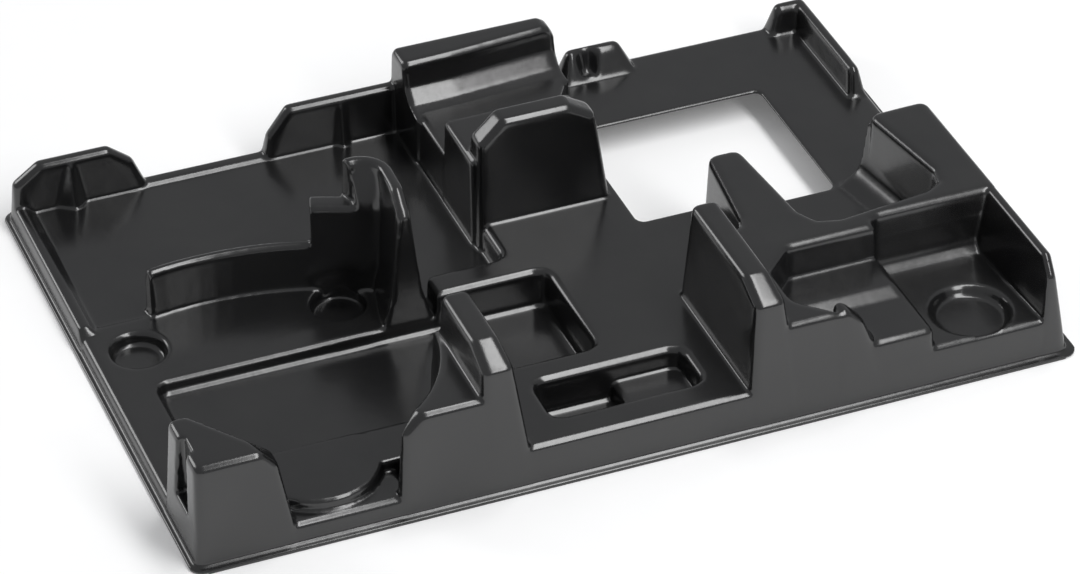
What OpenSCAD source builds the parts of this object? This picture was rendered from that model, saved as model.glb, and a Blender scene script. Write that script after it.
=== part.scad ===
// Tool case insert: one sheet of black plastic, vacuum formed into a tray.
// Places are measured from the front left corner of the flange, x along the
// front, y to the back and z up from the surface that the tray rests on.
// The finished tray is centred on its own footprint.

/* [Sheet] */
// Length of the flange along the front
length = 380; // [370:0.5:420]
// Depth of the flange from front to back
depth = 257.6; // [257:0.1:290]
// Thickness of the formed sheet
sheet = 1.6; // [0.8:0.1:2.2]
// Corner radius of the flange
flange_corner = 6; // [2:0.5:20]
// Radius over the raised edges
edge = 3; // [2.4:0.1:4]
// Radius at the foot of the pocket walls
root = 2.4; // [1:0.1:4]
// Sideways lean of the walls for each millimetre of height
draft = 0.044; // [0.02:0.002:0.06]

/* [Flange width] */
// Flange left of the left wall
left_rim = 2.4; // [1:0.1:6]
// Flange in front of the front wall
front_rim = 2.8; // [1:0.1:6]
// Flange right of the right wall
right_rim = 3.5; // [1:0.1:8]
// Flange behind the back wall
back_rim = 3.2; // [1:0.1:8]

/* [Levels] */
// Top of the low field on the left
field_z = 7.4; // [6:0.1:9]
// Floor of the large pan behind the curved rib
pan_z = 6.8; // [5:0.1:7]
// Front end of the low bar along the left side
pan_front = 150.3; // [148:0.1:154]
// Top of the low bar along the left side
bar_z = 10.4; // [9:0.1:14]
// Top of the deck in the middle
deck_z = 19; // [16:0.5:23]
// Top of the band behind and right of the window
band_z = 13.2; // [10:0.1:15]
// Top of the low walls and of the ledge behind the middle block
wall_z = 29.3; // [26:0.1:34]
// Top of the side blocks and of the back arch
block_z = 47.3; // [42:0.1:54]
// Top of the fins and of the middle block
fin_z = 65.5; // [58:0.1:75]

/* [Front left corner] */
// Right edge of the corner post at its foot
post_foot_x = 45; // [42:0.5:50]
// Right edge of the flat top of the corner post
post_top_x = 33; // [28:0.5:36]
// Height of the chamfer's lower edge on the corner post
post_chamfer_z = 41; // [36:0.5:44]
// Back of the corner post at its foot
post_back = 42.5; // [38:0.5:46]
// Left edge of the block right of the cut-out
cutout_right = 86; // [80:0.5:90]
// Top of the ledge in the cut-out
cutout_z = 10.1; // [8:0.1:12]
// Top of the crescent shelf
shelf_z = 14.7; // [13:0.1:18]
// Back edge of the crescent shelf
shelf_back = 45.5; // [42:0.5:50]
// Middle of the crescent's arc
shelf_mid = [62.1, 34.5]; // [20:0.1:80]
// Radius of the crescent's arc
shelf_r = 27; // [22:0.5:30]
// Width of the niche in the left side of the corner post
niche_w = 15; // [6:0.5:20]
// Depth of the niche in the corner post
niche_d = 6; // [2:0.5:10]

/* [Disc pocket] */
// Middle of the round wall
disc_mid = [56.5, 62.5]; // [40:0.5:80]
// Radius of the round wall at the floor
disc_r = 61.7; // [58:0.1:63]
// Left wall of the channel behind the disc
channel_left = 22; // [18:0.5:30]
// Right wall of the channel
channel_right = 189.7; // [180:0.1:195]
// Front wall of the channel's deep end
channel_front = 57.3; // [54:0.1:62]
// Back wall of the channel
channel_back = 111.6; // [106:0.1:116]

/* [Thumb holes] */
// Radius of each round thumb hole at its floor
thumb_r = 11; // [8:0.5:13]
// Distance of the thumb holes from the front
thumb_y = 136.9; // [132:0.1:140]
// Place of the left thumb hole
thumb_left_x = 22.5; // [20:0.5:30]
// Place of the right thumb hole
thumb_right_x = 108.5; // [100:0.5:112]

/* [Curved rib] */
// Middle of the rib's arc
rib_mid = [57.3, 19.1]; // [10:0.1:80]
// Radius of the rib's front face at its foot
rib_r = 137.5; // [135:0.1:142]
// Thickness of the rib at its foot
rib_w = 7.5; // [6.4:0.1:10]
// Thickness of the taller step at its foot
step_w = 14; // [10:0.5:18]
// Direction of the rib's left end, seen from the arc's middle
rib_start = 99.4; // [95:0.1:104]
// Direction of the left end of the taller step
step_start = 71.2; // [70:0.1:76]
// Direction of the step's right end
step_end = 62; // [58:0.5:64]
// Middle of the hook's arc at the rib's tall end
hook_mid = [121.5, 142.3]; // [110:0.1:150]
// Radius inside the hook at its top
hook_r = 8.4; // [6:0.1:12]
// Thickness of the hook's wall at its top
hook_w = 5.6; // [5:0.1:8]
// Front end of the hook's flat top
hook_top_front = 127.6; // [118:0.1:134]
// Height of the facet's front edge, on the fins and the hook
facet_z = 60.5; // [56:0.1:62]

/* [Deck] */
// Left edge of the deck beside the middle block
deck_left = 176.5; // [170:0.5:178]
// Left edge of the deck's front strip
strip_left = 142; // [136:0.5:150]
// Back of the deck's front strip
strip_back = 127.6; // [122:0.1:132]
// Left wall of the small pocket
small_left = 157.5; // [150:0.5:165]
// Right wall of the small pocket
small_right = 220; // [205:0.5:226]
// Front wall of the small pocket
small_front = 20; // [14:0.5:24]
// Back wall of the small pocket
small_back = 42.5; // [36:0.5:48]
// Left end of the shelf in the small pocket
small_shelf_x = 190.5; // [180:0.5:200]
// Top of the shelf in the small pocket
small_shelf_z = 9.5; // [6:0.1:12]

/* [Fins] */
// Left face of the left fin at its foot
fin_a_left = 119.5; // [116:0.5:122]
// Right face of the left fin at its foot
fin_a_right = 144; // [138:0.5:148]
// Back face of the left fin at its top
fin_a_back = 53.4; // [48:0.1:54]
// Width of the right fin at its foot
fin_b_w = 24; // [22:0.5:26]
// Gap between the right fin and the left wall of the right pocket
fin_b_gap = 3.7; // [3:0.1:5]
// Back face of the right fin at its top
fin_b_back = 72.8; // [66:0.1:76]
// Width of each fin's flat top
fin_top_w = 11.8; // [8:0.1:14]
// Length of the sloping facet at the front of each fin
facet_l = 12.8; // [6:0.1:18]

/* [Middle block] */
// Left face of the middle block
mid_left = 175.4; // [175:0.1:178]
// Right face of the middle block at its foot
mid_right = 237; // [230:0.5:238]
// Front face of the middle block at its foot
mid_front = 147.4; // [140:0.1:152]
// Front edge of its flat top
mid_top_front = 155; // [151:0.1:158]
// Back edge of its flat top
mid_top_back = 166.6; // [164:0.1:172]
// Left end of the flat top
mid_top_left = 187; // [182:0.5:195]
// Right end of the flat top
mid_top_right = 221; // [214:0.5:226]
// Back edge of the step behind the middle block
mid_step_back = 191; // [182:0.5:196]

/* [Back wall] */
// Depth of the low back walls at their foot
back_wall_d = 9.5; // [8.5:0.1:12]
// Right end of the back left post at its foot
back_post_x = 62.7; // [56:0.1:70]
// Left end of the middle back wall at its foot
back_mid_x = 113.7; // [106:0.1:120]
// Left end of the arch
arch_left = 174.4; // [172:0.1:178]
// Right end of the arch
arch_right = 249; // [246:0.5:254]
// Depth from the front edge of the arch's top, at its left end, to its back foot
arch_d = 18.9; // [17:0.1:24]
// How far the arch's top turns back towards its right end
arch_turn = 4.3; // [0:0.1:6]
// Radius of the hollow between the arch and the ledge
arch_cove = 14; // [6:0.5:14]
// Length of the saddle boss at its foot, right of the arch
saddle_w = 38; // [34:0.5:42]
// Top of the saddle boss and of the right back corner
saddle_z = 25.6; // [22:0.1:29]
// Length of the right back corner wall along the right side
corner_d = 68.4; // [60:0.1:74]
// Length of the right back corner wall along the back
corner_w = 21.5; // [18:0.5:28]

/* [Window] */
// Left edge of the window
window_left = 238.9; // [238:0.1:246]
// Gap between the window and the foot of the rear block
window_gap = 1.2; // [0.6:0.1:8]
// Front edge of the window
window_front = 128.6; // [128:0.1:136]
// Width of the band behind the window
band_w = 46.9; // [40:0.1:54]
// Corner radius of the window
window_corner = 3; // [1:0.5:8]

/* [Right block] */
// Left wall of the right pocket
nest_left = 261.7; // [258:0.1:266]
// Back wall of the pocket's left half
nest_back_left = 52; // [46:0.1:56]
// Back wall of the pocket's right half
nest_back_right = 58.7; // [54:0.1:62]
// Width of the pocket's right half
nest_right_w = 50; // [44:0.5:56]
// Width of the wall right of the pocket at its foot
right_wall_w = 13; // [12.5:0.1:18]
// Floor of the pocket's left half
nest_left_z = 28.3; // [24:0.1:32]
// Floor of the pocket's right half
nest_right_z = 19.2; // [16:0.1:22]
// How far the left floor reaches past the step between the back walls
nest_lap = 2; // [1:0.5:4]
// Rise of the ramp at the back of the left floor
ramp_rise = 3; // [0.5:0.1:5]
// Middle of the round dish, from the pocket's right wall and from the front
dish_place = [23.5, 21.7]; // [20:0.1:26]
// Radius of the round dish
dish_r = 18.7; // [12:0.1:19]
// Depth of the round dish
dish_d = 4; // [1:0.1:6]
// Left face of the rear fin, from the pocket's left wall
rear_fin_shift = 5.8; // [3:0.1:8]
// Width of the rear fin at its foot
rear_fin_w = 14.5; // [12:0.1:18]
// Back end of the rear fin
rear_fin_back = 127; // [120:0.5:128]
// Width of the rear block's top
rear_w = 24.5; // [20:0.5:29]
// Width of the hollow skirt left of the rear block
skirt_w = 17; // [13:0.5:21]
// Back end of the rear block
rear_back = 132; // [126:0.5:138]

/* [Hidden] */
// A length that is too short to see
tiny = 0.05;
// Step between walls that stand one behind the other, so that no two lie in one plane
apart = 0.2;
// How far a raised part reaches down into the level it stands on
bed = 2.2;
// How far the hollow's tools reach past the underside
spill = 1;
// Segments in each rounded corner, the same above and under the sheet
corner_n = 2;
// Height of the bend in the hook's flared sides, and how much flare is left there
hook_knee_z = 22;
hook_knee = 0.4;
// Direction in which the hook starts, and the number of stretches round it
hook_start = 104;
hook_n = 8;
// Segments in each rounded corner of the arch's section
arch_n = 3;
// Segments over each raised edge, outside and under the sheet
edge_n = 3;
// Segments in the fillet at the foot of a pocket's wall
root_n = 2;
// Sides of the balls that round the blocks
ball_n = 12;
ball_under_n = 8;
x0 = left_rim;
y0 = front_rim;
x1 = length - right_rim;
y1 = depth - back_rim;
// Where the upright part of the right wall starts
right_wall_x = x1 - 5;
nest_right = x1 - right_wall_w;
nest_step_x = nest_right - nest_right_w;
nest_floor_x = nest_step_x + nest_lap;
dish_mid = [nest_right - dish_place[0], dish_place[1]];
fin_b_right = nest_left - fin_b_gap;
fin_b_left = fin_b_right - fin_b_w;
rear_fin_left = nest_left + rear_fin_shift;
rear_fin_right = rear_fin_left + rear_fin_w;
rear_left = right_wall_x - rear_w;
rear_foot_x = rear_left - skirt_w;
window_right = rear_foot_x - window_gap;
window_back = y1 - band_w;
back_wall_y = y1 - back_wall_d;
arch_top = y1 - arch_d;
saddle_left = arch_right;
saddle_right = saddle_left + saddle_w;
corner_front = y1 - corner_d;
corner_left = right_wall_x - corner_w;
// Pocket floors stay just clear of the surface under the flange
floor_z = sheet + 0.1;

// Level from which a solid is drawn: inside the flange, or below the underside
function start_of(g) = g > 0 ? -spill : sheet / 2;

function unit(v) = v / norm(v);
function plan(p) = [p[0], p[1]];
function left_of(v) = [-v[1], v[0]];
function turned(v, a) = [v[0] * cos(a) - v[1] * sin(a), v[0] * sin(a) + v[1] * cos(a)];
function turn_at(u, v) = atan2(u[0] * v[1] - u[1] * v[0], u * v);

// An outline moved inwards by d, with each corner rounded in n segments.
// The corners are [x, y, radius] and run anticlockwise.
function ring(corners, d, n) = [
    for (i = [0 : len(corners) - 1])
        let (
            count = len(corners),
            p = plan(corners[i]),
            u = unit(p - plan(corners[(i + count - 1) % count])),
            v = unit(plan(corners[(i + 1) % count]) - p),
            normal = left_of(u),
            bisector = (normal + left_of(v)) / (1 + normal * left_of(v)),
            turn = turn_at(u, v),
            r = turn > 0 ? max(corners[i][2] - d, tiny) : -max(corners[i][2] + d, tiny),
            centre = p + (d + r) * bisector
        )
        for (k = [0 : n])
            centre - r * turned(normal, turn * k / n)
];

// Four rounded corners of an upright rectangle
function box(xa, ya, xb, yb, r) = [[xa, ya, r], [xb, ya, r], [xb, yb, r], [xa, yb, r]];

// Ball centres under the four top corners of a block
function tips(xa, ya, xb, yb, z, r = edge) = [
    for (x = [xa + r, xb - r], y = [ya + r, yb - r]) [x, y, z - r]
];

// A solid skinned over rings of equally many points in space
module skin(rings) {
    n = len(rings[0]);
    last = len(rings) - 1;
    sides = [
        for (k = [0 : last - 1], i = [0 : n - 1], half = [0, 1])
            let (a = k * n + i, b = k * n + (i + 1) % n)
            half == 0 ? [a, a + n, b + n] : [a, b + n, b]
    ];
    polyhedron(
        points = [for (r = rings, p = r) p],
        faces = concat(
            [[for (i = [0 : n - 1]) i]],
            sides,
            [[for (i = [n - 1 : -1 : 0]) last * n + i]]
        )
    );
}

// A solid skinned over level outlines at rising heights
module loft(outlines, heights) {
    skin([
        for (k = [0 : len(heights) - 1])
            [for (p = outlines[k]) [p[0], p[1], heights[k]]]
    ]);
}

// A raised field with leaning walls and a rounded top edge.
// g is 0 for the upper face of the sheet and its thickness for the underside.
module rise(corners, top, g = 0, r = edge, lean = draft, n = corner_n) {
    steps = g > 0 ? 1 : edge_n;
    round = max(r - g, tiny);
    z = top - g - round;
    low = start_of(g);
    arc = [for (k = [0 : steps]) 90 * k / steps];
    mid = sheet / 2;
    insets = concat([g + lean * (low - mid)], [for (a = arc) g + lean * (z - mid) + round * (1 - cos(a))]);
    loft(
        [for (d = insets) ring(corners, d, n)],
        concat([low], [for (a = arc) z + round * sin(a)])
    );
}

// A pocket cut into a field: filleted floor, leaning walls, rounded brim
module sink(corners, floor, brim, g = 0, r = edge, foot = root, lean = draft) {
    n = corner_n;
    steps = g > 0 ? 1 : edge_n;
    low_r = foot + g;
    top_r = max(r - g, tiny);
    arc = [for (k = [0 : steps]) 90 * k / steps];
    low_arc = [for (k = [0 : root_n]) 90 * k / root_n];
    low_z = [for (a = low_arc) floor + foot - low_r * cos(a)];
    low_d = [for (a = low_arc) foot - low_r * sin(a)];
    top_z = [for (a = arc) brim + tiny - g - top_r + top_r * sin(a)];
    top_d = [for (a = arc) -g - top_r + top_r * cos(a)];
    heights = concat(low_z, top_z, [brim + spill]);
    insets = concat(low_d, top_d, [-g - top_r]);
    loft(
        [for (k = [0 : len(heights) - 1]) ring(corners, insets[k] - lean * (heights[k] - floor), n)],
        heights
    );
}

// A round pocket, turned about its own axis
module round_sink(mid, r_floor, floor, brim, g = 0, r = edge, foot = root, lean = draft, n = 24) {
    steps = g > 0 ? 1 : edge_n;
    low_r = foot + g;
    top_r = max(r - g, tiny);
    arc = [for (k = [0 : steps]) 90 * k / steps];
    low_arc = [for (k = [0 : root_n]) 90 * k / root_n];
    low = [for (a = low_arc) [r_floor - foot + low_r * sin(a), floor + foot - low_r * cos(a)]];
    high = [for (a = arc) [r_floor + g + top_r - top_r * cos(a), brim + tiny - g - top_r + top_r * sin(a)]];
    outer = [for (p = concat(low, high)) [p[0] + lean * (p[1] - floor), p[1]]];
    reach = outer[len(outer) - 1][0];
    translate([mid[0], mid[1], 0])
        rotate_extrude($fn = n)
            polygon(concat([[0, floor - g]], outer, [[reach, brim + spill], [0, brim + spill]]));
}

// A ball whose height and width are exactly twice its radius
module ball(r, n) {
    sphere(r / cos(180 / n), $fn = n);
}

// A block that narrows from its foot outline to balls under its top corners
module lump(corners, centres, g = 0, r = edge, foot_z = 1) {
    low = start_of(g);
    hull() {
        translate([0, 0, low])
            linear_extrude(foot_z - low)
                polygon(ring(corners, g, corner_n));
        for (p = centres)
            translate(p)
                ball(max(r - g, tiny), g > 0 ? ball_under_n : ball_n);
    }
}

// A profile in y and z, drawn out along x between two ends
module along_x(xa, xb, profile, g) {
    translate([xa + g, 0, 0])
        rotate([90, 0, 90])
            linear_extrude(xb - xa - 2 * g)
                offset(delta = -g)
                    polygon(profile);
}

// Low field on the left, with the channel and the two thumb holes
module field(g) {
    difference() {
        rise(
            [
                [x0 + apart, y0 + apart, 6],
                [strip_left - 4, y0 + apart, 4],
                [strip_left - 4, 100, 4],
                [strip_left + 5, 109, 3],
                [strip_left + 5, 120, 3],
                [134, 136, 4],
                [126, 150, 4],
                [110, pan_front + 9, 4],
                [x0 + apart, pan_front + 9, 6]
            ],
            field_z, g
        );
        sink(
            box(channel_left, 8, channel_right + 1, channel_back + apart, 4),
            floor_z, field_z, g, r = 2.2
        );
        for (x = [thumb_left_x, thumb_right_x])
            round_sink([x, thumb_y], thumb_r, floor_z, field_z, g, r = 2.2, foot = 1.4);
    }
}

// Large pan behind the rib, with the low bars along its edges
module pan(g) {
    rise(
        [
            [x0 + 2 * apart, pan_front, 6],
            [112, pan_front, 6],
            [130, 132, 4],
            [130, 118, 3],
            [deck_left + 6, 118, 6],
            [deck_left + 6, y1 - apart, 6],
            [x0 + 2 * apart, y1 - apart, 6]
        ],
        pan_z, g
    );
    lump(
        box(x0, pan_front - 0.4, x0 + 11, y1 - 2, 2),
        tips(x0 + 0.6, pan_front + 4.2, x0 + 6, y1 - 4, bar_z, 1.8),
        g, 1.8, pan_z - bed
    );
    along_x(back_post_x - 10, back_mid_x + 10,
                [
            [back_wall_y - 4.9, start_of(g) - g],
            [y1, start_of(g) - g],
            [y1 - 0.6, 5],
            [y1 - 3, 8.2],
            [back_wall_y + 2.1, 8.2],
            [back_wall_y - 0.4, pan_z],
            [back_wall_y - 4.9, pan_z]
        ],
        g
    );
}

// Small rib on the front of a low back wall, with its reach to the left, right and front
module small_rib(x, left, right, out, g, r) {
    inner = back_wall_y + 4.1;
    lump(
        [[x - left, inner, 1], [x, back_wall_y - out, 2], [x + right, inner, 1]],
        [[x, back_wall_y + 2.6, wall_z - 4.3]],
        g, r, pan_z - bed
    );
}

// Back left post, with the small rib on its front face
module back_post(g) {
    r = 2.6;
    yf = back_wall_y + 0.9;
    yb = y1 - 2.2;
    lump(
        box(x0 + 0.4, back_wall_y, back_post_x, y1, 2),
        concat(
            tips(13.5, yf, back_post_x - 15, yb, wall_z, r),
            tips(3.6, yf, back_post_x - 5.9, yb, 22, r),
            [for (y = [yf + r, yb - r]) [back_post_x - 1.2 - r, y, 8]]
        ),
        g, r, 2
    );
    small_rib(28.7, 13.7, 10.3, 5, g, r);
}

// Low wall along the middle of the back edge
module back_middle(g) {
    r = 2.6;
    yf = back_wall_y + 0.9;
    yb = y1 - 2.2;
    lump(
        box(back_mid_x, back_wall_y, arch_left + 8, y1, 2),
        concat(
            tips(back_mid_x + 10.7, yf, arch_left + 8, yb, wall_z + 0.6, r),
            tips(back_mid_x + 2.6, yf, back_mid_x + 26.3, yb, 19, r)
        ),
        g, r, 2
    );
    small_rib(149.6, 8.1, 6.4, 3.4, g, r);
}

// Profile of the rib across its length, in radius and height
function rib_profile(inner, w, top, r, low) = [
    [inner, low],
    [inner + w, low],
    [inner + w - draft * top, top - r],
    [inner + w - draft * top - r * 0.3, top - r * 0.3],
    [inner + w - draft * top - r, top],
    [inner + draft * top + r, top],
    [inner + draft * top + r * 0.3, top - r * 0.3],
    [inner + draft * top, top - r]
];

// One stretch of a wall that follows an arc between two directions
module arc_wall(mid, inner, w, top, from, to, g, n, r = 2.2) {
    pull = g / inner * 180 / PI;
    translate([mid[0], mid[1], 0])
        rotate([0, 0, from + pull])
            rotate_extrude(angle = to - from - 2 * pull, $fn = n)
                offset(delta = -g)
                    polygon(rib_profile(inner, w, top, r, start_of(g) - g));
}

// Curved rib that rises in two steps to a hooked end
module curved_rib(g) {
    arc_wall(rib_mid, rib_r, rib_w, wall_z, step_start - 4, rib_start, g, 120);
    arc_wall(rib_mid, rib_r, step_w, block_z, step_end, step_start, g, 120);
    hook(g);
}

// Upright cross-section of the hook, set up across its path at one place
function hook_ring(at, across, flare_in, flare_out, top, g, tilt = 0, inset = 0) = [
    for (
        p = ring(
            [
                [hook_r - flare_in, start_of(g) - g, tiny],
                [hook_r + hook_w + flare_out, start_of(g) - g, tiny],
                [hook_r + hook_w + flare_out * hook_knee, hook_knee_z, 6],
                [hook_r + hook_w - inset, top, edge * 0.8],
                [hook_r + inset, top, edge * 0.8],
                [hook_r - flare_in * hook_knee, hook_knee_z, 6]
            ],
            g, corner_n
        )
    )
        [at[0] + p[0] * across[0], at[1] + p[0] * across[1] + tilt * p[1], p[1]]
];

// Tall hooked end of the rib, swept round its arc and on to the channel's edge
module hook(g) {
    pull = g / hook_r * 180 / PI;
    front = hook_top_front;
    end = channel_back + 1 + g;
    across = [1, 0];
    skin(concat(
        [
            for (k = [0 : hook_n])
                let (a = (hook_start - pull) * (1 - k / hook_n))
                hook_ring(hook_mid, [cos(a), sin(a)], 5.4, 5, fin_z, g)
        ],
        [
            hook_ring([hook_mid[0] - 0.4, front + 4], across, 7, 6, fin_z, g),
            hook_ring([hook_mid[0] - 0.8, front], across, 8, 7, fin_z - 0.3, g),
            hook_ring([hook_mid[0] - 2, end + 2.4], across, 9.4, 9.4, facet_z + 0.4, g, draft),
            hook_ring([hook_mid[0] - 2, end], across, 9.4, 9.4, facet_z - 2, g, draft, 1)
        ]
    ));
}

// Deck in the middle, with the deep end of the channel and the small pocket
module deck(g) {
    difference() {
        rise(
            [
                [fin_a_left + 8, y0 + apart, 4],
                [nest_left + 12, y0 + apart, 4],
                [nest_left + 12, nest_back_right + 1.3, 4],
                [rear_fin_right + 1, nest_back_right + 7.3, 4],
                [rear_fin_right + 1, window_front + 5, 4],
                [window_left + 8, window_front + 5, 4],
                [window_left + 8, mid_step_back + 9, 4],
                [deck_left, mid_step_back + 9, 4],
                [deck_left, strip_back, 3],
                [strip_left, strip_back, 4],
                [strip_left, channel_back - 4, 2],
                [fin_a_left + 8, channel_back - 4, 2]
            ],
            deck_z, g
        );
        sink(box(channel_left, channel_front, channel_right, channel_back, 4), floor_z, deck_z, g);
        small_pocket(g);
    }
}

// Small pocket, with its shelf at the right
module small_pocket(g) {
    difference() {
        sink(box(small_left, small_front, small_right, small_back, 4), floor_z, deck_z, g);
        rise(box(small_shelf_x, 0, small_right + 20, 80, 2), small_shelf_z, g, r = 2.4, lean = draft);
    }
}

// Front left corner post with its niche
module corner_post(g) {
    front = y0 + 2.1;
    difference() {
        lump(
            [
                [x0, y0, 3],
                [post_foot_x, y0, 2],
                [post_foot_x, 17, 6],
                [15, post_back, 3],
                [x0, post_back, 2]
            ],
            concat(
                [
                    for (
                        p = [
                            [x0 + 2 + edge, front + edge],
                            [post_top_x - edge, front + edge],
                            [post_top_x - 2 - edge, 17 - edge],
                            [14 - edge, post_back - 2.5 - edge],
                            [x0 + 2 + edge, post_back - 2.5 - edge]
                        ]
                    )
                        [p[0], p[1], block_z - edge]
                ],
                [for (y = [4.7 + edge, 14.5]) [38.6 - edge, y, post_chamfer_z - edge]]
            ),
            g
        );
        niche(g);
    }
}

// Niche in the post's left side
module niche(g) {
    mid = 22;
    half = niche_w / 2 + g;
    hull() {
        translate([-5, mid - half, 19 - g])
            cube([x0 + niche_d + g + 5, 2 * half, tiny]);
        translate([-5, mid - half + 2.5, block_z + spill])
            cube([x0 + niche_d - 1 + g + 5, 2 * half - 5, tiny]);
    }
}

// Block right of the cut-out, hollowed by the disc pocket's round wall
module disc_block(g) {
    difference() {
        lump(
            box(cutout_right, y0, fin_a_left + 14, channel_front + 1, 2),
            concat(
                tips(94.5, 4.9, fin_a_left + 12, 56, block_z),
                [for (y = [4.7 + edge, 50]) [88.2 + edge, y, post_chamfer_z - edge]]
            ),
            g
        );
        round_sink(disc_mid, disc_r, floor_z - tiny, block_z, g, lean = 0.05, n = 80);
    }
}

// Crescent shelf and the ledge in the cut-out
module cutout_shelves(g) {
    rise(box(post_foot_x - 6, y0 + 2 * apart, cutout_right + 6, 36, 2), cutout_z, g);
    left = shelf_mid[0] - shelf_r;
    right = shelf_mid[0] + shelf_r;
    front = shelf_mid[1] - shelf_r;
    rise(
        [
            [left, front, shelf_r * 0.98],
            [right, front, shelf_r * 0.98],
            [right, shelf_back + 0.3, 8],
            [left, shelf_back + 0.3, 9]
        ],
        shelf_z, g, r = 1.7, n = 8
    );
    rise(box(shelf_mid[0] + 8, 22, 106, shelf_back, 2), shelf_z - 0.2, g, r = 1.7);
}

// A tall fin whose front slopes down to a facet
module fin(left, right, back, top_left, g) {
    top_right = top_left + fin_top_w;
    front = y0 + 2.4;
    lump(
        box(left, y0, right, back + 6, 3),
        concat(
            tips(top_left, front + facet_l, top_right, back, fin_z),
            [for (x = [top_left - 0.4 + edge, top_right + 1 - edge]) [x, front + edge, facet_z - edge]]
        ),
        g
    );
}

// The two tall fins of the front wall
module fins(g) {
    fin(fin_a_left, fin_a_right, fin_a_back, fin_a_left + 2.7, g);
    fin(fin_b_left, fin_b_right, fin_b_back, fin_b_left + 2.9, g);
}

// Middle block with its chamfered shoulders and the step behind it
module middle_block(g) {
    lump(
        box(mid_left, mid_front, mid_right, mid_top_back + 4, 2),
        concat(
            tips(mid_top_left, mid_top_front, mid_top_right, mid_top_back, fin_z),
            [
                for (y = [mid_top_front - 0.8 + edge, mid_top_back - edge])
                    each [[mid_left + 2.6 + edge, y, 57 - edge], [mid_right - 6.6 - edge, y, 60 - edge]]
            ]
        ),
        g
    );
    lump(
        box(mid_left - 0.9, 152, mid_right, mid_step_back + 1, 3),
        tips(mid_left, 156, mid_right - 4, mid_step_back, block_z),
        g
    );
}

// Upright cross-section of the arch, from its foot to the back wall
function arch_ring(x, front, top, g, inset = 0) = [
    for (
        p = ring(
            [
                [front - arch_cove - 3, start_of(g) - g, tiny],
                [y1 - 0.4, start_of(g) - g, tiny],
                [y1 - 3.4 - inset, top, edge],
                [front, top, edge],
                [front, wall_z - 0.4, min(arch_cove, top - edge - wall_z)],
                [front - arch_cove - 3, wall_z - 0.4, 1]
            ],
            g, arch_n
        )
    )
        [x, p[0], p[1]]
];

// Raised ledge behind the middle block and the arch at its back
module arch(g) {
    left = arch_left + g;
    right = arch_right - g;
    rise(
        [
            [arch_left + apart, mid_step_back - 20, 4],
            [mid_right - 0.5, mid_step_back - 20, 4],
            [mid_right + 0.5, y1 - 44.4, 12],
            [arch_right - 1, y1 - 27.4, 20],
            [arch_right - 1, y1 - 0.5, 3],
            [arch_left + apart, y1 - 0.5, 3]
        ],
        wall_z, g
    );
    skin([
        arch_ring(left, arch_top + 1, block_z - 1.6, g, 1),
        arch_ring(left + 1.8, arch_top, block_z, g),
        arch_ring(arch_left + 22, arch_top + arch_turn * 0.15, block_z, g),
        arch_ring(arch_left + 40, arch_top + arch_turn * 0.5, block_z, g),
        arch_ring(right - 8, arch_top + arch_turn, block_z, g),
        arch_ring(right - 5, arch_top + arch_turn + 0.4, block_z - 1.6, g, 0.4),
        arch_ring(right - 3, arch_top + arch_turn + 0.6, block_z - 5, g, 0.6)
    ]);
}

// Boss with the hollow front at the back
module saddle(g) {
    difference() {
        lump(
            box(saddle_left, y1 - 14.4, saddle_right, y1, 4),
            tips(saddle_left + 5.4, y1 - 8.2, saddle_right - 6.6, y1 - 1.8, saddle_z, 2.6),
            g, 2.6, band_z - bed
        );
        translate([saddle_left + 14.5, y1 - 10.8, band_z + 1.5 - g])
            cylinder(h = 14, r1 = 3 + g, r2 = 7.6 + g, $fn = 20);
    }
}

// Band behind and right of the window
module band(g) {
    lump(
        box(window_left - 12, 62, x1, y1, 8),
        [
            for (x = [window_left - 6, right_wall_x + 1 - edge], y = [66, y1 - 1 - edge])
                [x, y, band_z - edge]
        ],
        g
    );
}

// Wall round the right back corner
module back_corner(g) {
    r = 2.4;
    yb = y1 - 1.8;
    xb = right_wall_x - 2;
    lump(
        box(corner_left, y1 - 10.9, right_wall_x, y1, 3),
        tips(corner_left + 4.5, y1 - 7.8, xb, yb, saddle_z, r),
        g, r, band_z - bed
    );
    lump(
        box(right_wall_x - 9, corner_front, right_wall_x, y1, 2),
        tips(right_wall_x - 7, corner_front + 5, xb, yb, saddle_z, r),
        g, r, band_z - bed
    );
}

// Walls of the right pocket, with the rear fin and the rear block
module right_block(g) {
    rise(
        [
            [fin_b_left + 3, y0 + apart, 3],
            [nest_left + 20, y0 + apart, 3],
            [nest_left, y0 + 19, 6],
            [nest_left, nest_back_left - 11, 3],
            [nest_left + 11.3, nest_back_left, 2],
            [nest_step_x, nest_back_left, 2],
            [nest_step_x, nest_back_right, 2],
            [right_wall_x + 0.6, nest_back_right, 4],
            [right_wall_x + 0.6, rear_back, 6],
            [rear_left - 7, rear_back - 1, 6],
            [rear_left + 3, nest_back_right + 14.3, min(8, 0.16 * (rear_left - rear_fin_right))],
            [rear_fin_right + 8, nest_back_right + 7.3, min(10, 0.16 * (rear_left - rear_fin_right))],
            [rear_fin_right + 2, rear_fin_back + 1, 6],
            [rear_fin_left - 1.5, rear_fin_back + 1, 6],
            [nest_left - 2, nest_back_right + 17.3, 4],
            [fin_b_left + 3, nest_back_right + 17.3, 2]
        ],
        block_z, g
    );
    rear_skirt(g);
    right_wall(g);
}

// Upright cross-section of the rear block's left side: a steep face, a hollow and a skirt
function skirt_ring(y, foot, face, g) = [
    for (
        p = ring(
            [
                [foot, start_of(g) - g, tiny],
                [right_wall_x - 3, start_of(g) - g, tiny],
                [right_wall_x - 3, 42, tiny],
                [face + 3, 42, tiny],
                [face, 19.4, 10],
                [foot, band_z + 0.7, 2]
            ],
            g, arch_n
        )
    )
        [p[0], y, p[1]]
];

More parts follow.
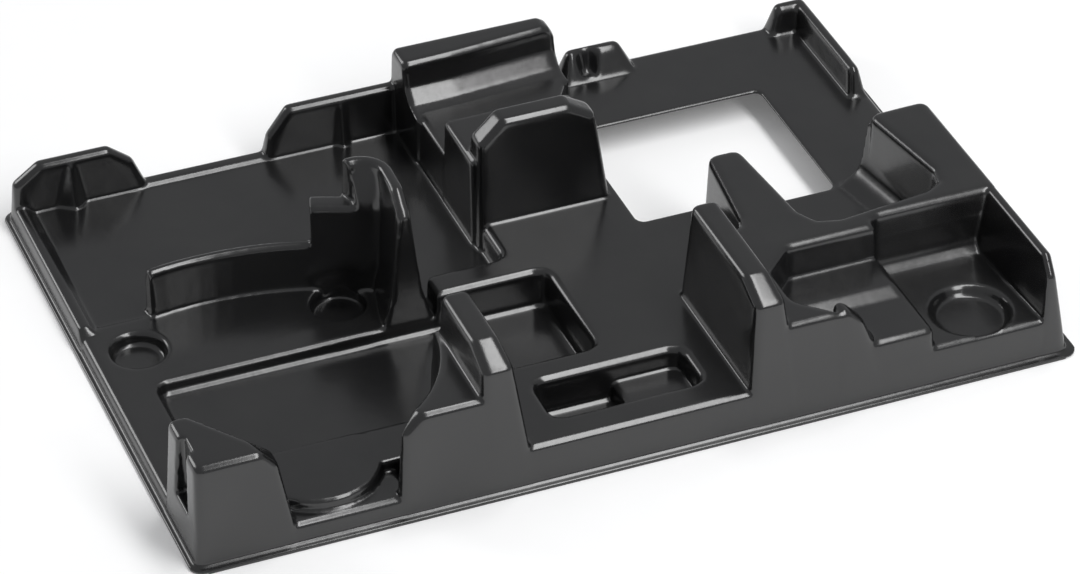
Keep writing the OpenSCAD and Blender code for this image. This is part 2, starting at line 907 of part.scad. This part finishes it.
// Hollow skirt along the left side of the rear block, swept from its back to its front
module rear_skirt(g) {
    back = rear_back - 2 - g;
    face = rear_left - 6.6;
    skin([
        skirt_ring(back, rear_foot_x + 2.5, face, g),
        skirt_ring(back - 3, rear_foot_x, face + 0.5, g),
        skirt_ring(back - 27 + g, rear_foot_x + 4.6, face + 4.9, g),
        skirt_ring(nest_back_right + 19.3 + g, rear_foot_x + 10, face + 9.2, g)
    ]);
}

// Wall right of the right pocket, with its wide chamfer at the front
module right_wall(g) {
    r = 2;
    mid = nest_right + 3.7;
    top = block_z - r - 0.3;
    lump(
        [[nest_right, y0, 1], [x1, y0, 4], [x1, rear_back - 12, 20], [nest_right, rear_back - 12, 2]],
        [
            for (x = [mid, mid + 0.4])
                each [[x, y0 + 4.4, 40 - r], [x, y0 + 9.6, top], [x, nest_back_right + 6, top]]
        ],
        g, r
    );
}

// Floors of the right pocket
module right_floors(g) {
    lump(
        box(nest_left - 10, y0, nest_floor_x + 1, nest_back_left + 8, 2),
        tips(nest_left - 10, y0 + 1.6, nest_floor_x, nest_back_left + 6, nest_left_z),
        g
    );
    lump(
        box(nest_left - 9, y0 + 20, nest_floor_x - 0.2, nest_back_left + 7, 2),
        tips(nest_left - 9, 33, nest_floor_x - 2.4, nest_back_left + 5, nest_left_z + ramp_rise),
        g, edge, nest_left_z - bed - 0.4
    );
    lump(
        box(nest_left + 10, y0, nest_left + 33.8, y0 + 12, 2),
        [
            for (p = [[14.3, block_z - 0.3], [20.3, 41], [24.9, 30]], y = [y0 + 4.8, y0 + 9])
                [nest_left + p[0], y, p[1] - edge]
        ],
        g
    );
    difference() {
        rise(box(nest_step_x - 20, y0 + apart, nest_right + 3, 66, 3), nest_right_z, g);
        round_sink(dish_mid, dish_r - 3, nest_right_z - dish_d, nest_right_z, g, r = 2.4, foot = 2);
    }
    back = nest_back_right + 0.9;
    fillet = [
        [back - 9, start_of(g) - g, tiny],
        [back + 4, start_of(g) - g, tiny],
        [back + 4, 36, tiny],
        [back + 0.5, 36, tiny],
        [back, nest_right_z - 0.05, 7],
        [back - 9, nest_right_z - 0.4, tiny]
    ];
    skin([
        for (x = [nest_step_x - 4 + g, nest_right + 3 - g])
            [for (p = ring(fillet, g, arch_n)) [x, p[0], p[1]]]
    ]);
}

// Everything that stands above the underside plane, as a solid
module form(g) {
    field(g);
    pan(g);
    back_post(g);
    back_middle(g);
    curved_rib(g);
    deck(g);
    corner_post(g);
    disc_block(g);
    cutout_shelves(g);
    fins(g);
    middle_block(g);
    arch(g);
    saddle(g);
    band(g);
    back_corner(g);
    right_block(g);
    right_floors(g);
}

// Flange that runs round the whole tray
module flange() {
    linear_extrude(sheet)
        polygon(ring(box(0, 0, length, depth, flange_corner), 0, 5));
}

// Opening through the deck and the band
module window() {
    translate([0, 0, -spill])
        linear_extrude(fin_z)
            polygon(ring(box(window_left, window_front, window_right, window_back, window_corner), 0, 4));
}

// The whole formed sheet
module tray() {
    color([0.03, 0.03, 0.03])
        translate([-length / 2, -depth / 2, 0])
            difference() {
                union() {
                    flange();
                    form(0);
                }
                form(sheet);
                window();
            }
}

tray();
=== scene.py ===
import math

import bmesh
import bpy
import numpy as np
from mathutils import Matrix, Vector


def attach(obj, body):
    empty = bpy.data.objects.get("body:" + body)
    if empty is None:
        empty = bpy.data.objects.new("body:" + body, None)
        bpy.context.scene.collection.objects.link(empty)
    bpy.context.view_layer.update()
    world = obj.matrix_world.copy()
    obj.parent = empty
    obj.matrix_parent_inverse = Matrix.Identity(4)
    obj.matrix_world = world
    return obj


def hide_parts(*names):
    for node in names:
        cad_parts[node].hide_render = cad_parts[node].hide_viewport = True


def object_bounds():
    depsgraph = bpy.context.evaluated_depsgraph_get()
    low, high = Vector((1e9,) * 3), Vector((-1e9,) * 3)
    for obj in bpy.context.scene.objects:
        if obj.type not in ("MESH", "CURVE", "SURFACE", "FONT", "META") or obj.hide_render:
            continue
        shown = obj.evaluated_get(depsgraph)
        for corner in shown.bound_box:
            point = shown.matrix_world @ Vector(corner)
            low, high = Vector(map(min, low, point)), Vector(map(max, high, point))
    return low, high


MM = 0.001

# Camera: place and direction in the row frame, fitted to the photograph
CAMERA_PLACE = Vector((-0.5758, -1.4499, 1.1468))
CAMERA_AZIMUTH = -21.8166
CAMERA_ELEVATION = 36.3529
CAMERA_LENS = 155.18
CAMERA_SENSOR = 36
CAMERA_NEAR = 0.05
CAMERA_FAR = 50

# Formed sheet: size of the remesh, and how far its corners are softened
WELD = 1e-6
VOXEL = 0.7 * MM
SOFTEN_STEPS = 10
SOFTEN_FACTOR = 0.5
RIM_WIDTH = 1.4 * MM
RIM_SOFTNESS = 0.25
MOST_TRIANGLES = 190000
SHEET = 1.6
DRAFT = 0.044
FIELD_LEVEL = 7.4

# Sides of a turned solid: a small one, and one as wide as the curved rib
SIDES = 96
RIB_SIDES = 360

# Right thumb hole: place and form of its inside
HOLE_MIDDLE = (108.5, 136.9)
HOLE_RADIUS = 11
HOLE_FLOOR = 1.7
HOLE_FILLET = 1.4
HOLE_BRIM = 2.2
HOLE_ARC_STEP = 15

# The solids that make the hole: how far they taper, rise over the field and stay apart
HOLE_TAPER = 2
HOLE_REACH = 2
BACK_REACH = 4
CUP_FOOT = 0.15
CUP_SUNK = 0.02
BACK_FOOT = 0.2
RIB_GAP = 0.1

# Curved rib: middle of its arc, radius of its front face, direction of its tall end,
# heights between which the space in front of it is cut, level of its step
RIB_MIDDLE = (57.3, 19.1)
RIB_RADIUS = 137.5
RIB_END = math.radians(62)
RIB_LOW = -1
RIB_HIGH = 20
STEP_TOP = 46

# Hollow that leads from the rib's face into the hook's wall: its radius and the points
# on its arc, heights and the levels between them, places of the hook's wall by height,
# how far it leans back at the top and how late
HOLLOW_RADIUS = 7
HOLLOW_POINTS = 8
HOLLOW_FOOT = 1
HOLLOW_TOP = 62
HOLLOW_LEVELS_LOW = 8
HOLLOW_LEVELS_HIGH = 12
HOLLOW_GAP = 0.1
HOLLOW_WALL = ((1, 124.6), (22, 127.7), (60, 129.7))
HOLLOW_LEAN = 7.2
HOLLOW_LEAN_POWER = 1.5

# Sides of the hollow that lie within the sheet: depths in the hook's right wall, two
# points behind and the run to the left, first above the step and then beside it, where
# the points follow the draft of the walls
WALL_INSIDE = 0.9
WALL_BEHIND = (0.3, 146)
ABOVE_STEP = ((125.5, 150.4), (120.4, 150.7))
ABOVE_STEP_RUN = 5.9
ABOVE_STEP_BACK = 150.4
BESIDE_STEP = ((125.6, 149.0), (122.3, 143.6))
BESIDE_STEP_RUN = 3.6
BESIDE_STEP_LEVEL = 44
BESIDE_STEP_SHIFT = (0.5, 1.1)
BESIDE_STEP_HEIGHT = 24

# Places that stay crisp, and places that are rounded further, as boxes:
# middle, half size, strength
CRISP = (
    ((62, 20, 12), (32, 17, 4), 0.75),
)
ROUNDED = (
    ((281, 10, 37), (12, 9, 11), 1.0),
    ((268, 247, 22), (22, 9, 9), 0.8),
    ((356, 248, 22), (14, 8, 9), 0.35),
    ((369, 191, 20), (6, 10, 8), 0.5),
)
ROUNDED_STEPS = 36
BOX_SLOPE = 3
WEIGHT_LEVELS = 10

# Black plastic: index of refraction, two tones, and ranges of the roughness
PLASTIC_IOR = 1.68
PLASTIC_TONES = ((0.006, 0.006, 0.0065, 1), (0.010, 0.010, 0.010, 1))
SHEEN_RANGE = (0.17, 0.24)
SPECKLE_RANGE = (-0.01, 0.02)

# Its patterns: scale and detail of each, then strength and height of the relief
TONE_PATTERN = (35, 4)
SHEEN_PATTERN = (22, 5, 0.6)
SPECKLE_PATTERN = (600, 2)
WAVE_PATTERN = (110, 2)
WAVE_RELIEF = (0.25, 0.25 * MM)
PEEL_PATTERN = (1300, 2)
PEEL_RELIEF = (0.18, 0.03 * MM)

# Floor: its size and its place under the tray, its finish, and how much whiter it looks
# to the camera and in reflections
FLOOR_RADIUS = 9
FLOOR_GAP = 0.1 * MM
FLOOR_ROUGHNESS = 0.7
FLOOR_SPECULAR = 0.2
FLOOR_GRAIN = 60
FLOOR_TONES = ((0.90, 0.90, 0.90, 1), (0.93, 0.93, 0.93, 1))
FLOOR_LIFT = 0.12

# Room, and its soft lights: name, direction, distance, width, height, radiance
ROOM_COLOUR = (0.97, 0.98, 1.0, 1)
ROOM_STRENGTH = 0.40
SOFTBOXES = (
    ("front_overhead", (0.30, -0.36, 0.88), 1.7, 0.4, 2.5, 8),
    ("back_left", (-0.62, 0.70, 0.42), 1.9, 0.6, 0.8, 4),
)

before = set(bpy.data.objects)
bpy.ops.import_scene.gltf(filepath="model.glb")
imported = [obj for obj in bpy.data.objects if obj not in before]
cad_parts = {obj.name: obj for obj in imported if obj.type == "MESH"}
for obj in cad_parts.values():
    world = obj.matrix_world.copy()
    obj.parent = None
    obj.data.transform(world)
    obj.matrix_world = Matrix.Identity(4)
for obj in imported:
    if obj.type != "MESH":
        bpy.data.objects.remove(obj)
cad_low, cad_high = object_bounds()
tray_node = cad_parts["tray"]
scene = bpy.context.scene


def applied(obj):
    """Replaces the object's mesh by what its modifiers make of it."""
    graph = bpy.context.evaluated_depsgraph_get()
    mesh = bpy.data.meshes.new_from_object(obj.evaluated_get(graph))
    obj.modifiers.clear()
    obj.data = mesh
    return obj


def linked(name, mesh):
    obj = bpy.data.objects.new(name, mesh)
    scene.collection.objects.link(obj)
    return obj


def welded_copy(source, name):
    """A copy of a CAD node's mesh in which neighbouring faces share their corners."""
    mesh = source.data.copy()
    made = bmesh.new()
    made.from_mesh(mesh)
    bmesh.ops.remove_doubles(made, verts=made.verts, dist=WELD)
    made.to_mesh(mesh)
    made.free()
    mesh.materials.clear()
    return linked(name, mesh)


def placed(x, y, z):
    """A point in the row frame, from millimetres off the flange's front left corner."""
    return Vector((cad_low.x + x * MM, cad_low.y + y * MM, z * MM))


def skinned(name, rings):
    """A closed solid over rings of equally many points."""
    made = bmesh.new()
    rows = [[made.verts.new(placed(*point)) for point in ring] for ring in rings]
    count = len(rows[0])
    for low_row, high_row in zip(rows, rows[1:]):
        for i in range(count):
            j = (i + 1) % count
            made.faces.new((low_row[i], low_row[j], high_row[j], high_row[i]))
    made.faces.new(rows[0])
    made.faces.new(rows[-1])
    bmesh.ops.recalc_face_normals(made, faces=made.faces)
    mesh = bpy.data.meshes.new(name)
    made.to_mesh(mesh)
    made.free()
    return linked(name, mesh)


def turned(name, middle, profile, sides=SIDES):
    """A solid turned about an upright axis, from pairs of radius and height."""
    angles = [2 * math.pi * k / sides for k in range(sides)]
    return skinned(name, [
        [(middle[0] + r * math.cos(a), middle[1] + r * math.sin(a), z) for a in angles]
        for r, z in profile
    ])


def combined(obj, tool, operation):
    """Adds, cuts or intersects one solid with another, and removes the tool."""
    step = obj.modifiers.new(operation, "BOOLEAN")
    step.object = tool
    step.operation = operation
    step.solver = "EXACT"
    applied(obj)
    bpy.data.objects.remove(tool)
    return obj


def rib_front(beyond):
    """The space in front of the curved rib's face, up to a distance beyond it."""
    radius = RIB_RADIUS + beyond
    return turned("rib_front", RIB_MIDDLE, [(radius, RIB_LOW), (radius, RIB_HIGH)], RIB_SIDES)


def thumb_hole(sheet):
    """Forms the right thumb hole in full, up to the face of the curved rib."""
    quarter = [math.radians(a) for a in range(0, 91, HOLE_ARC_STEP)]
    foot = [
        (
            HOLE_RADIUS - HOLE_FILLET * (1 - math.sin(a)),
            HOLE_FLOOR + HOLE_FILLET * (1 - math.cos(a)),
        )
        for a in quarter
    ]
    brim = [
        (
            HOLE_RADIUS + HOLE_BRIM * (1 - math.cos(a)),
            FIELD_LEVEL - HOLE_BRIM * (1 - math.sin(a)),
        )
        for a in quarter
    ]
    wall = [(r + DRAFT * (z - HOLE_FLOOR), z) for r, z in foot + brim]
    top = FIELD_LEVEL + HOLE_REACH
    cup_radius = HOLE_RADIUS + HOLE_BRIM + SHEET
    foot_radius = cup_radius - HOLE_TAPER
    hole = turned("hole", HOLE_MIDDLE, wall + [(wall[-1][0], top)])
    core = turned("core", HOLE_MIDDLE, foot + [(HOLE_RADIUS - HOLE_TAPER, top)])
    cup = turned("cup", HOLE_MIDDLE, [
        (foot_radius, CUP_FOOT),
        (cup_radius, FIELD_LEVEL - CUP_SUNK),
    ])
    back = turned("back", HOLE_MIDDLE, [
        (foot_radius, BACK_FOOT),
        (foot_radius, FIELD_LEVEL + BACK_REACH),
    ])
    combined(hole, rib_front(-RIB_GAP), "INTERSECT")
    combined(back, rib_front(SHEET / 2), "DIFFERENCE")
    combined(sheet, cup, "UNION")
    combined(sheet, back, "UNION")
    combined(sheet, hole, "DIFFERENCE")
    combined(sheet, core, "DIFFERENCE")


def levels(low, rise, count):
    """Heights from low upwards, in equal steps over the rise."""
    return [low + rise * k / count for k in range(count + 1)]


def hollow_outline(z):
    """Outline of the hollow's filling at a height: its arc, then the sides in the sheet."""
    along = Vector((math.sin(RIB_END), -math.cos(RIB_END)))
    across = Vector((-along.y, along.x))
    wall = np.interp(z, [p[0] for p in HOLLOW_WALL], [p[1] for p in HOLLOW_WALL])
    radius = RIB_RADIUS + DRAFT * z
    face = Vector((
        RIB_MIDDLE[0] + radius * math.cos(RIB_END),
        RIB_MIDDLE[1] + radius * math.sin(RIB_END),
    ))
    risen = max(0, z - STEP_TOP) / (HOLLOW_TOP - STEP_TOP)
    lean = Vector((0, HOLLOW_LEAN * risen ** HOLLOW_LEAN_POWER))
    corner = face + along * ((wall - face.x) / along.x) + lean
    start = corner - along * (HOLLOW_RADIUS * math.tan(RIB_END / 2))
    centre = start - across * HOLLOW_RADIUS
    arc = []
    for k in range(HOLLOW_POINTS + 1):
        a = RIB_END * k / HOLLOW_POINTS
        arc.append(centre + (across * math.cos(a) + along * math.sin(a)) * HOLLOW_RADIUS)
    if z > STEP_TOP:
        behind = [Vector(point) for point in ABOVE_STEP]
        left = start - along * ABOVE_STEP_RUN
        left.y = min(left.y, ABOVE_STEP_BACK)
    else:
        share = (BESIDE_STEP_LEVEL - z) / BESIDE_STEP_HEIGHT
        behind = [Vector(point) - Vector(BESIDE_STEP_SHIFT) * share for point in BESIDE_STEP]
        left = start - along * BESIDE_STEP_RUN
    right = [
        Vector((wall + WALL_INSIDE, arc[-1].y)),
        Vector((wall + WALL_BEHIND[0], WALL_BEHIND[1])),
    ]
    return arc + right + behind + [left]


def hook_hollow(sheet):
    """Leads the rib's front face into the hook's wall in one hollow curve."""
    beside = levels(HOLLOW_FOOT, STEP_TOP - HOLLOW_FOOT, HOLLOW_LEVELS_LOW)
    above = levels(STEP_TOP + HOLLOW_GAP, HOLLOW_TOP - STEP_TOP, HOLLOW_LEVELS_HIGH)
    rings = [[(p.x, p.y, z) for p in hollow_outline(z)] for z in beside + above]
    combined(sheet, skinned("hollow", rings), "UNION")


def share_in(places, boxes):
    """How strongly each point lies in any of the boxes, from 0 outside to its strength."""
    shares = np.zeros(len(places))
    for middle, half, strength in boxes:
        offset = np.abs(places - np.array(placed(*middle))) / (np.array(half) * MM)
        depth = np.clip((1 - offset.max(axis=1)) * BOX_SLOPE, 0, 1)
        shares = np.maximum(shares, strength * depth)
    return shares


def weighted(obj, name, weights):
    """A vertex group with the weights, rounded to a few levels."""
    group = obj.vertex_groups.new(name=name)
    rounded = np.round(weights * WEIGHT_LEVELS)
    for level in range(1, WEIGHT_LEVELS + 1):
        inside = np.nonzero(rounded == level)[0]
        if len(inside):
            group.add(inside.tolist(), level / WEIGHT_LEVELS, "REPLACE")
    return group


def coordinates(mesh):
    """The places of a mesh's corners, one row each."""
    places = np.empty(len(mesh.vertices) * 3, np.float32)
    mesh.vertices.foreach_get("co", places)
    return places.reshape(-1, 3)


def soften_weights(obj):
    """Full softening, less along the trimmed outer edge and where the form is crisp."""
    places = coordinates(obj.data)
    low = np.array(cad_low)
    high = np.array(cad_high)
    reach = np.minimum(places[:, :2] - low[:2], high[:2] - places[:, :2]).min(axis=1)
    share = np.clip(reach / RIM_WIDTH, 0, 1)
    return (RIM_SOFTNESS + (1 - RIM_SOFTNESS) * share) * (1 - share_in(places, CRISP))


def smoothed(obj, name, weights, steps):
    """Softens the object's form as strongly as the weights say."""
    group = weighted(obj, name, weights)
    step = obj.modifiers.new(name, "SMOOTH")
    step.factor = SOFTEN_FACTOR
    step.iterations = steps
    step.vertex_group = group.name
    return applied(obj)


def thinned(obj):
    """Fewer triangles, with the shading of the fine mesh kept."""
    fine = linked("fine_surface", obj.data.copy())
    triangles = 2 * len(obj.data.polygons)
    fewer = obj.modifiers.new("fewer_faces", "DECIMATE")
    fewer.ratio = min(1, MOST_TRIANGLES / triangles)
    applied(obj)
    normals = obj.modifiers.new("fine_normals", "DATA_TRANSFER")
    normals.object = fine
    normals.use_loop_data = True
    normals.data_types_loops = {"CUSTOM_NORMAL"}
    normals.loop_mapping = "POLYINTERP_NEAREST"
    applied(obj)
    bpy.data.objects.remove(fine)
    return obj


def formed_sheet():
    """The tray as one sheet with the soft corners that forming leaves."""
    obj = welded_copy(tray_node, "formed_sheet")
    thumb_hole(obj)
    hook_hollow(obj)
    remesh = obj.modifiers.new("even_mesh", "REMESH")
    remesh.mode = "VOXEL"
    remesh.voxel_size = VOXEL
    applied(obj)
    smoothed(obj, "soften", soften_weights(obj), SOFTEN_STEPS)
    smoothed(obj, "rounded", share_in(coordinates(obj.data), ROUNDED), ROUNDED_STEPS)
    obj.data.shade_smooth()
    return thinned(obj)


def node_material(name):
    """A new material with nodes: itself, its shader, and what adds and links nodes."""
    material = bpy.data.materials.new(name)
    material.use_nodes = True
    nodes = material.node_tree.nodes
    return material, nodes["Principled BSDF"], nodes.new, material.node_tree.links.new


def noise(add, link, place, scale, detail=2, roughness=0.5):
    """A noise pattern over the object."""
    node = add("ShaderNodeTexNoise")
    node.inputs["Scale"].default_value = scale
    node.inputs["Detail"].default_value = detail
    node.inputs["Roughness"].default_value = roughness
    link(place, node.inputs["Vector"])
    return node.outputs["Fac"]


def spread(add, link, value, low, high, start=0.3, end=0.7):
    """A pattern's values between start and end, spread from low to high."""
    node = add("ShaderNodeMapRange")
    node.inputs["From Min"].default_value = start
    node.inputs["From Max"].default_value = end
    node.inputs["To Min"].default_value = low
    node.inputs["To Max"].default_value = high
    link(value, node.inputs["Value"])
    return node.outputs["Result"]


def toned(add, link, value, tones):
    """A colour between two tones."""
    node = add("ShaderNodeMixRGB")
    node.inputs["Color1"].default_value = tones[0]
    node.inputs["Color2"].default_value = tones[1]
    link(value, node.inputs["Fac"])
    return node.outputs["Color"]


def relief(add, link, height, strength, distance, under=None):
    """A fine relief from a pattern, laid over another one."""
    node = add("ShaderNodeBump")
    node.inputs["Strength"].default_value = strength
    node.inputs["Distance"].default_value = distance
    link(height, node.inputs["Height"])
    if under:
        link(under, node.inputs["Normal"])
    return node.outputs["Normal"]


def black_plastic():
    """Formed black sheet: satin gloss, fine orange peel and a faint uneven sheen."""
    material, shader, add, link = node_material("black_plastic")
    shader.inputs["IOR"].default_value = PLASTIC_IOR
    place = add("ShaderNodeTexCoord").outputs["Object"]

    blotches = spread(add, link, noise(add, link, place, *TONE_PATTERN), 0, 1)
    link(toned(add, link, blotches, PLASTIC_TONES), shader.inputs["Base Color"])

    uneven = noise(add, link, place, *SHEEN_PATTERN)
    speckle = noise(add, link, place, *SPECKLE_PATTERN)
    sheen = add("ShaderNodeMath")
    sheen.operation = "ADD"
    link(spread(add, link, uneven, *SHEEN_RANGE), sheen.inputs[0])
    link(spread(add, link, speckle, *SPECKLE_RANGE), sheen.inputs[1])
    link(sheen.outputs["Value"], shader.inputs["Roughness"])

    waves = relief(add, link, noise(add, link, place, *WAVE_PATTERN), *WAVE_RELIEF)
    peel = relief(add, link, noise(add, link, place, *PEEL_PATTERN), *PEEL_RELIEF, waves)
    link(peel, shader.inputs["Normal"])
    return material


def floor_material():
    """A pale matt floor that the camera and reflections see as white."""
    material, shader, add, link = node_material("pale_floor")
    shader.inputs["Roughness"].default_value = FLOOR_ROUGHNESS
    shader.inputs["Specular IOR Level"].default_value = FLOOR_SPECULAR
    place = add("ShaderNodeTexCoord").outputs["Object"]
    grain = noise(add, link, place, FLOOR_GRAIN)
    link(toned(add, link, grain, FLOOR_TONES), shader.inputs["Base Color"])
    rays = add("ShaderNodeLightPath").outputs
    seen = add("ShaderNodeMath")
    seen.operation = "MAXIMUM"
    link(rays["Is Camera Ray"], seen.inputs[0])
    link(rays["Is Glossy Ray"], seen.inputs[1])
    lift = add("ShaderNodeMath")
    lift.operation = "MULTIPLY"
    lift.inputs[1].default_value = FLOOR_LIFT
    link(seen.outputs["Value"], lift.inputs[0])
    shader.inputs["Emission Color"].default_value = (1, 1, 1, 1)
    link(lift.outputs["Value"], shader.inputs["Emission Strength"])
    return material


def pale_floor():
    """The floor that the tray lies on."""
    made = bmesh.new()
    bmesh.ops.create_circle(made, cap_ends=True, segments=SIDES, radius=FLOOR_RADIUS)
    mesh = bpy.data.meshes.new("floor")
    made.to_mesh(mesh)
    made.free()
    obj = linked("floor", mesh)
    obj.location.z = cad_low.z - FLOOR_GAP
    obj.data.materials.append(floor_material())


def pale_room():
    """Even pale light from all round."""
    world = bpy.data.worlds.new("pale_room")
    world.use_nodes = True
    back = world.node_tree.nodes["Background"]
    back.inputs["Color"].default_value = ROOM_COLOUR
    back.inputs["Strength"].default_value = ROOM_STRENGTH
    scene.world = world


def softbox(name, direction, distance, width, height, radiance):
    """A soft light of a set brightness, aimed at the tray, with its width along x."""
    lamp = bpy.data.lights.new(name, "AREA")
    lamp.shape = "RECTANGLE"
    lamp.size = width
    lamp.size_y = height
    lamp.energy = radiance * math.pi * width * height
    obj = linked(name, lamp)
    towards = Vector(direction).normalized()
    obj.location = towards * distance
    side = (Vector((1, 0, 0)) - towards * towards.x).normalized()
    axes = Matrix((side, towards.cross(side), towards)).transposed()
    obj.rotation_mode = "QUATERNION"
    obj.rotation_quaternion = axes.to_quaternion()


def photo_camera():
    """The camera, at the photograph's place and angle."""
    data = bpy.data.cameras.new("photo_camera")
    data.sensor_width = CAMERA_SENSOR
    data.lens = CAMERA_LENS
    data.clip_start = CAMERA_NEAR
    data.clip_end = CAMERA_FAR
    obj = linked("photo_camera", data)
    azimuth = math.radians(CAMERA_AZIMUTH)
    elevation = math.radians(CAMERA_ELEVATION)
    back = Vector((
        math.sin(azimuth) * math.cos(elevation),
        -math.cos(azimuth) * math.cos(elevation),
        math.sin(elevation),
    ))
    obj.location = CAMERA_PLACE
    obj.rotation_mode = "QUATERNION"
    obj.rotation_quaternion = (-back).to_track_quat("-Z", "Y")
    scene.camera = obj


photo_camera()
sheet = formed_sheet()
sheet.data.materials.append(black_plastic())
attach(sheet, "root")
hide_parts("tray")
pale_floor()
pale_room()
for light in SOFTBOXES:
    softbox(*light)

scene.view_settings.view_transform = "Standard"
